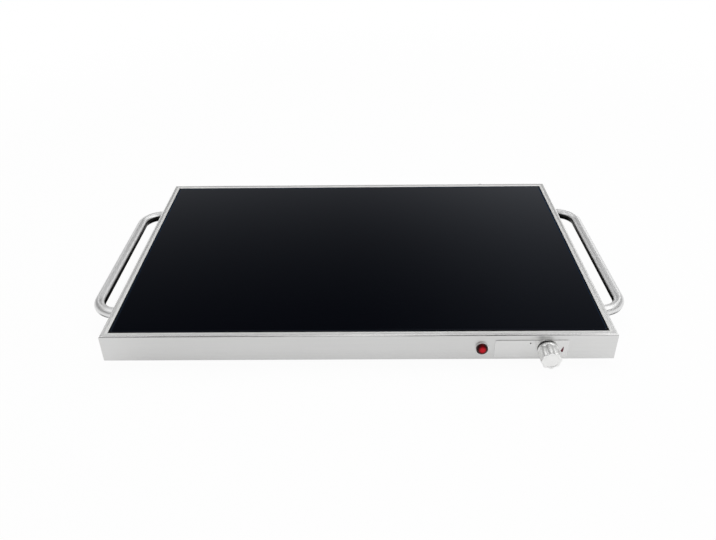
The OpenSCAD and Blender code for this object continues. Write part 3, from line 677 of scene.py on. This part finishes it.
def turned(
    radius: np.ndarray, depth: np.ndarray, angle: np.ndarray, centre: Sequence[float]
) -> np.ndarray:
    """Points round an axis that runs from the centre to the front, along -Y.

    A point is centre + radius (cos a, 0, sin a) - depth (0, 1, 0).

    Args:
        radius: its distance from the axis.
        depth: how far in front of the centre it is.
        angle: a, in radians. All three are spread to one shape, rows x columns.
        centre: a point on the axis, at depth 0.

    Returns:
        An array of rows x columns x 3.
    """
    x = centre[0] + radius * np.cos(angle)
    z = centre[2] + radius * np.sin(angle)
    return np.stack([x, centre[1] - depth + 0 * x, z], -1)


@dataclass
class Skin:
    """A tube of points in millimetres, rows x columns x 3, whose last column meets its first.

    Caps close its ends, unless they are drawn in to a point. Flow has coordinates for polishing
    lines, or is None for the positions.
    """

    points: np.ndarray
    caps: bool = False
    flow: np.ndarray | None = None

    def faces(self) -> list[list[int]]:
        """Quads between neighbouring points, and the caps."""
        rows, cols = self.points.shape[:2]
        i, j = np.meshgrid(np.arange(rows - 1), np.arange(cols), indexing="ij")
        k, here, below = (j + 1) % cols, i * cols, (i + 1) * cols
        quads = np.stack([here + j, here + k, below + k, below + j], -1).reshape(-1, 4)
        last = cols * (rows - 1)
        ends = [list(range(cols)), list(range(last, last + cols))]
        return quads.tolist() + (ends if self.caps else [])

    def piece(self, name: str, slot: str, body: str, sharp: float = 35.0) -> bpy.types.Object:
        """Makes the object: doubles merged, normals out, smooth except at sharp edges.

        Args:
            name: the piece's name.
            slot: the finish, which is also the record's material slot if it has one.
            body: the body that it rides on.
            sharp: the angle, in degrees, past which an edge stays sharp.

        Returns:
            The new object, at the origin.
        """
        mesh = bpy.data.meshes.new(name)
        points = self.points.reshape(-1, 3) * MM
        lines = points if self.flow is None else self.flow.reshape(-1, 3) * MM
        mesh.from_pydata(points.tolist(), [], self.faces())
        flow = mesh.attributes.new("flow", "FLOAT_VECTOR", "POINT")
        flow.data.foreach_set("vector", lines.astype(np.float32).ravel())
        shell = bmesh.new()
        shell.from_mesh(mesh)
        bmesh.ops.remove_doubles(shell, verts=shell.verts, dist=MERGE)
        bmesh.ops.recalc_face_normals(shell, faces=shell.faces)
        shell.to_mesh(mesh)
        shell.free()
        mesh.polygons.foreach_set("use_smooth", np.ones(len(mesh.polygons), bool))
        mesh.set_sharp_from_angle(angle=math.radians(sharp))
        mesh.materials.append(material(slot))
        made = show(name, mesh)
        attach(made, body)
        LOG.info("%s: %d faces, on %s", name, len(mesh.polygons), body)
        return made


# ------ pieces


@dataclass
class GlassPanel:
    """The black glass top, with the ground arris round its edges.

    Below and above are its edge's section in shares of the arris: in from the outline, and away
    from the face. Flat is a strip of the face inside the arris.
    """

    corner: float = 4.0
    arris: float = 0.5
    flat: float = 1.0
    steps: int = 10
    below: Rows = ((1.0, 0.0), (0.3, 0.3), (0.0, 1.0))
    above: Rows = ((0.0, 1.0), (0.12, 0.55), (0.45, 0.18), (1.0, 0.0))

    def outline(self, width: float, depth: float, radius: float) -> np.ndarray:
        """A rounded rectangle: four quarter circles, each carried to its corner's centre."""
        turn = np.linspace(0, np.pi / 2, self.steps) + np.arange(4)[:, None] * np.pi / 2
        cx = np.array([1, -1, -1, 1])[:, None] * (width / 2 - radius)
        cy = np.array([1, 1, -1, -1])[:, None] * (depth / 2 - radius)
        x, y = cx + radius * np.cos(turn), cy + radius * np.sin(turn)
        return np.stack([x, y], -1).reshape(-1, 2)

    def build(self) -> None:
        """Stacks the outline at each height of the edge's section, and closes both faces."""
        low, high = (np.array(c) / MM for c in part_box("glass_top"))
        width, depth = high[:2] - low[:2]
        a, n = self.arris, 4 * self.steps
        section = [(i * a, low[2] + h * a) for i, h in self.below]
        section += [(i * a, high[2] - h * a) for i, h in self.above] + [(a + self.flat, high[2])]
        flat = [self.outline(width - 2 * i, depth - 2 * i, self.corner - i) for i, _ in section]
        rings = [np.column_stack([ring, np.full(n, z)]) for ring, (_, z) in zip(flat, section)]
        skin = Skin(np.array(rings), caps=True)
        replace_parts(skin.piece("glass_panel", "black_glass", TRAY, sharp=50.0), "glass_top")


@dataclass
class HandlePair:
    """Two bent tubes, each welded to a side wall at both ends.

    The weld is highest at the wall, and dies out in weld_run times its height. Lead is where the
    first rings stand, measured from the wall.
    """

    wall_x: float = 300.0
    height: float = 28.5
    radius: float = 7.0
    bend: float = 28.0
    stub: float = 3.0
    span: float = 258.0
    weld: float = 0.9
    weld_run: float = 1.5
    sides: int = 56
    lead: tuple[float, ...] = (0.0, 0.25, 0.5, 0.9, 1.35, 2.2)
    bend_steps: int = 20
    bar_steps: int = 12

    def path(self) -> np.ndarray:
        """The centre line from one wall joint to the other: stub, quarter circle, bar, and back.

        Returns:
            Rows of x, y, the x and y of the direction square to the path, and the tube's radius.
        """
        half, reach = self.span / 2, self.wall_x + self.stub
        lead = np.array([*self.lead, self.stub])
        turn = np.linspace(np.pi / 2, 0, self.bend_steps)[1:]
        cos, sin = np.cos(turn), np.sin(turn)
        bar = np.linspace(half - self.bend, 0, self.bar_steps)[1:]
        parts = (
            (self.wall_x + lead, half + 0 * lead, 0 * lead, 1 + 0 * lead),
            (reach + self.bend * cos, half - self.bend + self.bend * sin, cos, sin),
            (reach + self.bend + 0 * bar, bar, 1 + 0 * bar, 0 * bar),
        )
        rows = np.concatenate([np.stack(part, -1) for part in parts])
        radius = np.full(len(rows), self.radius)
        radius[:len(lead)] += np.clip(1 - lead / (self.weld_run * self.weld), 0, 1) ** 2 * self.weld
        rows = np.column_stack([rows, radius])
        mirror_y = (1, -1, 1, -1, 1)
        return np.concatenate([rows, rows[-2::-1] * mirror_y])

    def build(self) -> None:
        """Carries a circle along the path: centre + r cos a (square to the path) + r sin a (up)."""
        rows = self.path()
        steps = np.linalg.norm(np.diff(rows[:, :2], axis=0), axis=1)
        run = np.concatenate([[0], np.cumsum(steps)])[:, None]
        x, y, square_x, square_y, radius = rows.T[:, :, None]
        angle = turn_angles(self.sides)
        out, up = radius * np.cos(angle), radius * np.sin(angle)
        flow = np.stack([run + 0 * out, out, up], -1)
        for name, sign in (("left", -1.0), ("right", 1.0)):
            ring = [sign * (x + square_x * out), y + square_y * out, self.height + up]
            skin = Skin(np.stack(ring, -1), caps=True, flow=flow)
            tube = skin.piece(f"handle_tube_{name}", "handle_steel", TRAY)
            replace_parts(tube, f"handle_{name}")


@dataclass
class FlutedKnob:
    """The control knob: a plain collar, eight rounded lobes and a turned, dished front.

    Collar rows are as profile gives them, and dish rows have their depth back from the front.
    Valley is its share of a lobe's pitch, and first is where the first one is, in degrees.
    """

    axis_x: float = 220.3
    axis_z: float = 26.0
    back_y: float = -202.4
    length: float = 20.4
    radius: float = 12.0
    lobes: int = 8
    flute: float = 1.1
    valley: float = 0.72
    blunt: float = 0.06
    first: float = 164.0
    columns: int = 240
    round_off: float = 1.3
    round_steps: int = 8
    collar: Rows = (
        (0.0, 3.7, 0.0), (9.2, 3.7, 0.0), (9.2, 0.2, 0.0), (9.4, 0.0, 0.0), (11.55, 0.0, 0.0),
        (11.9, 0.12, 0.0), (12.0, 0.5, 0.0), (12.0, 2.5, 0.0), (11.85, 2.85, 0.0),
        (11.8, 3.0, 0.12), (11.8, 3.3, 0.55), (11.85, 3.8, 0.92), (11.9, 4.6, 1.0),
        (11.95, 10.0, 1.0),
    )
    dish: Rows = (
        (10.2, 0.0, 0.75), (9.6, 0.0, 0.45), (9.1, 0.0, 0.2), (8.85, 0.06, 0.08), (8.6, 0.3, 0.0),
        (8.35, 0.54, 0.0), (8.0, 0.6, 0.0), (5.0, 0.6, 0.0), (2.0, 0.6, 0.0), (0.0, 0.6, 0.0),
    )

    def profile(self) -> np.ndarray:
        """Rows of radius, depth from the back face, and how much of the flute's depth is cut there.

        A quarter circle between the collar and the dish rounds the front edge off.
        """
        corner, r = self.radius - self.round_off, self.round_off
        edge = self.length - self.round_off
        turn = np.linspace(0, np.pi / 2, self.round_steps)
        rows = [*self.collar]
        rows += [(corner + r * math.cos(a), edge + r * math.sin(a), 1.0) for a in turn]
        rows += [(radius, self.length - depth, cut) for radius, depth, cut in self.dish]
        return np.array(rows, float)

    def build(self) -> None:
        """Radius = profile radius - flute depth x cut, where cut is 1 in a valley and 0 on a lobe.

        The cut is a parabola q of the angle from the valley's middle, with its corners rounded as
        (q + root(q q + blunt)) / 2.
        """
        angle = turn_angles(self.columns)
        pitches = (angle - math.radians(self.first)) * self.lobes / (2 * np.pi)
        phase = np.mod(pitches + 0.5, 1) - 0.5
        q = 1 - (2 * np.abs(phase) / self.valley) ** 2
        cut = 0.5 * (q + np.sqrt(q * q + self.blunt))
        cut = (cut - cut.min()) / (cut.max() - cut.min())
        rows = self.profile()
        radius = rows[:, :1] - self.flute * rows[:, 2:] * cut
        centre = (self.axis_x, self.back_y, self.axis_z)
        skin = Skin(turned(radius, rows[:, 1:2], angle, centre))
        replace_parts(skin.piece("fluted_knob", "knob_chrome", DIAL, sharp=40.0), "knob")


@dataclass
class PilotLamp:
    """The lamp's bright bezel and barrel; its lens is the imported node.

    Lip rows are out from the seat's edge, crown rows from the bezel's, and barrel rows from the
    axis, each with its depth in front of the wall.
    """

    axis_x: float = 144.0
    axis_z: float = 27.5
    wall_y: float = -200.0
    bezel_r: float = 7.8
    seat_r: float = 6.75
    seat: float = 0.4
    lip: Rows = ((0.0, 0.95), (0.06, 1.06), (0.22, 1.1))
    crown: Rows = ((-0.34, 1.08), (-0.1, 0.9), (0.0, 0.6), (0.0, 0.1), (-0.08, 0.0))
    barrel: Rows = ((5.5, 0.0), (5.5, -21.5), (3.2, -21.5), (3.0, -29.5), (0.0, -29.5))
    sides: int = 96

    def build(self) -> None:
        """Turns the recess for the lens, the bezel's rounded rim and the barrel behind it."""
        rows = [(0.0, self.seat), (self.seat_r, self.seat)]
        rows += [(self.seat_r + out, depth) for out, depth in self.lip]
        rows += [(self.bezel_r + out, depth) for out, depth in self.crown]
        radius, depth = np.array([*rows, *self.barrel]).T[:, :, None]
        centre = (self.axis_x, self.wall_y, self.axis_z)
        skin = Skin(turned(radius, depth, turn_angles(self.sides), centre))
        body = skin.piece("lamp_bezel_and_barrel", "lamp_bezel", TRAY, sharp=30.0)
        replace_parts(body, "lamp_body")


@dataclass
class PlateMarks:
    """The printed scale on the control plate: a dot for off, and a red wedge by the hot end.

    Reaches are from the knob's axis, angles in degrees round it. The wedge's widths are rows of an
    angle and the width there, inwards from its reach.
    """

    axis_x: float = 220.3
    axis_z: float = 26.0
    face_y: float = -200.8
    ink: float = 0.04
    dot_reach: float = 22.2
    dot_angle: float = 157.5
    dot_radius: float = 0.9
    dot_steps: int = 13
    thinnest: float = 0.02
    wedge_reach: float = 18.6
    wedge_span: Span = (10.0, -15.0)
    wedge_steps: int = 26
    wedge_widths: Rows = ((-15.0, 1.2), (-12.0, 2.6), (-9.0, 3.1), (-3.0, 2.5), (11.0, 0.5))

    def sector(self, inner: np.ndarray, outer: np.ndarray, degrees: np.ndarray) -> Skin:
        """A thin slab between two radii, with a row of four corners at each angle.

        Args:
            inner: the inner radius at each angle.
            outer: the outer radius at each angle.
            degrees: the angles.

        Returns:
            The slab, closed at both ends.
        """
        radius = np.stack([inner, inner, outer, outer], -1)
        depth = np.array([0.0, self.ink, self.ink, 0.0])
        centre = (self.axis_x, self.face_y, self.axis_z)
        return Skin(turned(radius, depth, np.radians(degrees)[:, None], centre), caps=True)

    def dot(self) -> Skin:
        """A round dot: half its height is r cos t where its place along the scale is r sin t."""
        t = np.radians(np.linspace(-90, 90, self.dot_steps))
        half = np.maximum(self.dot_radius * np.cos(t), self.thinnest)
        turn = np.degrees(self.dot_radius * np.sin(t) / self.dot_reach)
        return self.sector(self.dot_reach - half, self.dot_reach + half, self.dot_angle + turn)

    def wedge(self) -> Skin:
        """A band under one radius, whose width is interpolated between the rows."""
        angle = np.linspace(*self.wedge_span, self.wedge_steps)
        width = np.interp(angle, *zip(*self.wedge_widths))
        return self.sector(self.wedge_reach - width, self.wedge_reach + 0 * width, angle)

    def build(self) -> None:
        """Makes the dot in grey and the wedge in red."""
        self.dot().piece("plate_off_dot", "grey_print", TRAY)
        self.wedge().piece("plate_red_wedge", "red_print", TRAY)


# ------ studio


@dataclass
class View:
    """The camera: its place in millimetres, and its turns in degrees."""

    place: tuple[float, float, float] = (8.2, -838.0, 542.8)
    pitch: float = 32.53
    yaw: float = -0.63
    roll: float = -0.67
    focal_px: float = 700.0
    width_px: int = 716
    sensor: float = 36.0

    def build(self) -> None:
        """Aims the camera by pitch, yaw and roll, with the focal length that the width gives."""
        p, w, r = (math.radians(a) for a in (self.pitch, self.yaw, self.roll))
        ahead = Vector((math.sin(w) * math.cos(p), math.cos(w) * math.cos(p), -math.sin(p)))
        level = Vector((math.cos(w), -math.sin(w), 0))
        above = level.cross(ahead)
        right = math.cos(r) * level + math.sin(r) * above
        up = math.cos(r) * above - math.sin(r) * level
        lens = bpy.data.cameras.new("view")
        lens.sensor_width = self.sensor
        lens.lens = self.focal_px * self.sensor / self.width_px
        made = show("view", lens)
        facing = Matrix((right, up, -ahead)).transposed().to_4x4()
        made.matrix_world = Matrix.Translation(Vector(self.place) * MM) @ facing
        bpy.context.scene.camera = made


@dataclass(frozen=True)
class Gap:
    """A gap between the ceiling's lamps: where in x, half its core, half of all, how dark."""

    middle: float
    core: float
    edge: float
    dark: float


@dataclass(frozen=True)
class Patch:
    """A soft part of the sky at the back: where y and z rise into it, and |x| and z leave it."""

    back: Span
    low: Span
    sides: Span
    high: Span

    def mask(self, graph: Graph, way: Way) -> Sock:
        """1 inside the patch, and 0 outside."""
        x, y, z = way
        into = graph.rise(y, *self.back) * graph.rise(z, *self.low)
        return into * graph.fall(abs(x), *self.sides) * graph.fall(z, *self.high)


@dataclass
class Sky:
    """White to the camera, and a studio to mirrors, by the unit direction (x, y, z).

    Mirrors see white sides, a ceiling of lamps with two gaps, and a gradient straight overhead. A
    dim band runs part way up the sides. At the back it gives way to wings that light the rims and
    handles, to a grey patch, and to the dark screen that the glass shows to the camera. A pair is
    where a soft step begins and ends, or a value on the left and one on the right.
    """

    white: float = 1.0
    ambient: float = 0.34
    ceiling: float = 1.35
    ceiling_from: Span = (0.76, 0.84)
    ceiling_lean: float = 0.5
    gaps: tuple[Gap, ...] = (Gap(-0.23, 0.1, 0.19, 0.86), Gap(0.2, 0.09, 0.17, 0.96))
    lamp_side: Span = (0.24, 0.34)
    lamp_more: float = 0.4
    left_side: Span = (0.28, 0.45)
    left_less: float = 0.35
    band_from: Span = (0.16, 0.24)
    band_to: Span = (0.6, 0.66)
    band_share: float = 0.85
    band_level: float = 0.2
    wings_back: Span = (0.2, 0.5)
    wings_sides: Span = (0.52, 0.6)
    wings_more: float = 0.25
    grey_patch: Patch = Patch((0.5, 0.6), (0.14, 0.2), (0.34, 0.4), (0.62, 0.66))
    grey_level: float = 0.5
    zenith_from: Span = (0.93, 0.96)
    zenith_depth: Span = (0.2, 0.3)
    zenith_slope: Span = (-0.35, 0.35)
    zenith_turn: float = 0.7
    zenith_least: float = 0.35
    zenith_more: float = 0.5
    screen_patch: Patch = Patch((0.15, 0.35), (0.385, 0.415), (0.36, 0.42), (0.62, 0.66))
    screen_turn: Span = (-0.04, 0.26)
    screen_foot: float = 0.43
    screen_rate: Span = (-12.0, -9.0)
    screen_level: Span = (0.236, 0.39)

    def overhead(self, graph: Graph, way: Way) -> Sock:
        """The level of the ceiling and, under it, of the white sides, a little less on the left."""
        x, y, z = way
        dark = [graph.fall(abs(x - gap.middle), gap.core, gap.edge) * gap.dark for gap in self.gaps]
        lamps = (1.0 - sum(dark[1:], dark[0])) * self.ceiling
        lamps = lamps + graph.rise(x, *self.lamp_side) * self.lamp_more
        sides = self.white - graph.rise(x * -1.0, *self.left_side) * self.left_less
        height = z - graph.least(y, 0.0) * self.ceiling_lean
        return graph.blend(graph.rise(height, *self.ceiling_from), sides, lamps)

    def around(self, graph: Graph, way: Way, level: Sock) -> Sock:
        """The level with the dim band, the wings and the grey patch in it."""
        x, y, z = way
        band = graph.rise(z, *self.band_from) * graph.fall(z, *self.band_to) * self.band_share
        wings = graph.rise(y, *self.wings_back) * graph.fall(abs(x), *self.wings_sides)
        level = graph.blend(band * (1.0 - wings), level + wings * self.wings_more, self.band_level)
        return graph.blend(self.grey_patch.mask(graph, way), level, self.grey_level)

    def zenith(self, graph: Graph, way: Way, level: Sock) -> Sock:
        """The level with the gradient straight overhead in it, which the glass shows from above."""
        x, y, z = way
        patch = graph.rise(z, *self.zenith_from) * graph.fall(abs(y), *self.zenith_depth)
        slope = graph.rise(x * self.zenith_turn + y, *self.zenith_slope)
        return graph.blend(patch, level, slope * self.zenith_more + self.zenith_least)

    def screen(self, graph: Graph, way: Way, level: Sock) -> Sock:
        """The level with the screen in it: its own is level x exp(rate x (height - foot))."""
        side = graph.rise(way[0], *self.screen_turn)
        rate = graph.blend(side, *self.screen_rate)
        fade = graph.math("EXPONENT", (way[2] - self.screen_foot) * rate)
        own = graph.blend(side, *self.screen_level) * fade
        return graph.blend(self.screen_patch.mask(graph, way), level, own)

    def build(self) -> None:
        """Makes the world, with one level for the camera, one for mirrors and one for the rest."""
        world = bpy.data.worlds.new("studio")
        bpy.context.scene.world = world
        world.use_nodes = True
        graph = Graph(world.node_tree)
        way = graph.split(graph.add("TexCoord", out="Generated"))
        level = self.overhead(graph, way)
        for layer in (self.around, self.zenith, self.screen):
            level = layer(graph, way, level)
        camera, shiny = graph.rays()
        seen = graph.blend(camera, graph.blend(shiny, self.ambient, level), self.white)
        paint = graph.add("Background", {"Color": graph.vector(seen, seen, seen), "Strength": 1.0})
        graph.add("OutputWorld", {"Surface": paint})


@dataclass
class Floor:
    """A pale plane. The camera and mirrors see it mostly as white, with the tray's soft shadow.

    In mirrors it has painted shade near the tray, a painted shadow in the nooks inside the handles
    and painted light to the ends. To the camera it grows from almost white to white over the span
    far.
    """

    size: float = 6.0
    white: float = 1.0
    pale: float = 0.92
    near: float = 0.3
    left_end: Span = (0.24, 0.33)
    left_more: float = 0.35
    right_end: Span = (0.18, 0.34)
    right_more: float = 0.38
    nook_x: Span = (0.345, 0.365)
    nook_y: Span = (0.13, 0.145)
    nook_shadow: float = 0.9
    far: Span = (0.7, 1.6)
    far_more: float = 0.04

    def surface(self, graph: Graph) -> Sock:
        """A matte floor that glows white by the share of the camera's and mirrors' rays."""
        _, x, y, _ = graph.place()
        camera, shiny = graph.rays()
        ends = graph.rise(x * -1.0, *self.left_end) * self.left_more
        ends = ends + graph.rise(x, *self.right_end) * self.right_more
        # Painted shadow and light that only mirrors see: dark in the nooks, dim near the tray,
        # brighter to the ends.
        nook = graph.fall(abs(x), *self.nook_x) * graph.fall(abs(y), *self.nook_y)
        bright = (ends + self.near) * (1.0 - nook)
        far = graph.rise(graph.reach(x, y), *self.far) * self.far_more + (1.0 - self.far_more)
        share = (camera * far + shiny * bright).clamp()
        grey = self.pale - shiny * nook * self.nook_shadow
        matte = graph.add("BsdfDiffuse", {"Color": graph.vector(grey, grey, grey)})
        glow = graph.add("Emission", {"Color": (1.0, 1.0, 1.0), "Strength": self.white})
        return graph.add("MixShader", {0: share, 1: matte, 2: glow})

    def build(self) -> None:
        """Makes the plane, which is clear from below."""
        s = self.size
        mesh = bpy.data.meshes.new("floor")
        mesh.from_pydata([(-s, -s, 0), (s, -s, 0), (s, s, 0), (-s, s, 0)], [], [(0, 1, 2, 3)])
        pale = bpy.data.materials.new("pale_floor")
        pale.use_nodes = True
        graph = Graph(pale.node_tree)
        seen = self.surface(graph)
        under = graph.add("NewGeometry", out="Backfacing")
        clear = graph.add("BsdfTransparent")
        both = graph.add("MixShader", {0: under, 1: seen, 2: clear})
        graph.add("OutputMaterial", {"Surface": both})
        mesh.materials.append(pale)
        show("floor", mesh)


@dataclass(frozen=True)
class SoftLamp:
    """A soft lamp: where it hangs, what it points at, its size and its watts."""

    name: str
    place: tuple[float, float, float]
    target: tuple[float, float, float]
    size: Span
    watts: float

    def build(self) -> None:
        """Hangs the lamp, unseen by the camera and by mirrors."""
        light = bpy.data.lights.new(self.name, "AREA")
        light.shape = "RECTANGLE"
        light.size, light.size_y = self.size
        light.energy = self.watts
        made = show(self.name, light)
        away = Vector(self.place) - Vector(self.target)
        made.location = self.place
        made.rotation_mode = "QUATERNION"
        made.rotation_quaternion = away.to_track_quat("Z", "Y")
        made.visible_camera = False
        made.visible_glossy = False


LAMPS = (
    SoftLamp("top_soft", (0.1, 0.35, 1.7), (0.0, 0.1, 0.0), (2.2, 1.5), 17.0),
    SoftLamp("front_fill", (0.5, -2.1, 1.2), (0.1, 0.0, 0.0), (1.8, 0.9), 9.0),
    SoftLamp("right_side", (1.9, 0.0, 0.8), (0.2, 0.0, 0.0), (0.9, 1.4), 5.0),
)


# ------ main


@dataclass
class PackedNodes:
    """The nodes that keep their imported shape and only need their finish."""

    def build(self) -> None:
        """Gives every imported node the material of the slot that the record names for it."""
        slots = {part["node"]: part["material_slot"] for part in frame["record"]["subparts"]}
        for name, node in frame["nodes"].items():
            node.data.materials.clear()
            node.data.materials.append(material(slots[name]))
        LOG.info("dressed %d packed nodes", len(frame["nodes"]))


def main() -> None:
    """Builds the studio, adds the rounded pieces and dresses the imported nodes."""
    logging.basicConfig(level=logging.INFO, format="%(name)s: %(message)s")
    bpy.context.scene.view_settings.view_transform = "Standard"
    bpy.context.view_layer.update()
    studio = (View(), Sky(), Floor(), *LAMPS)
    pieces = (GlassPanel(), HandlePair(), FlutedKnob(), PilotLamp(), PlateMarks(), PackedNodes())
    for part in (*studio, *pieces):
        part.build()
        LOG.info("built %s", type(part).__name__)


if __name__ == "__main__":
    main()
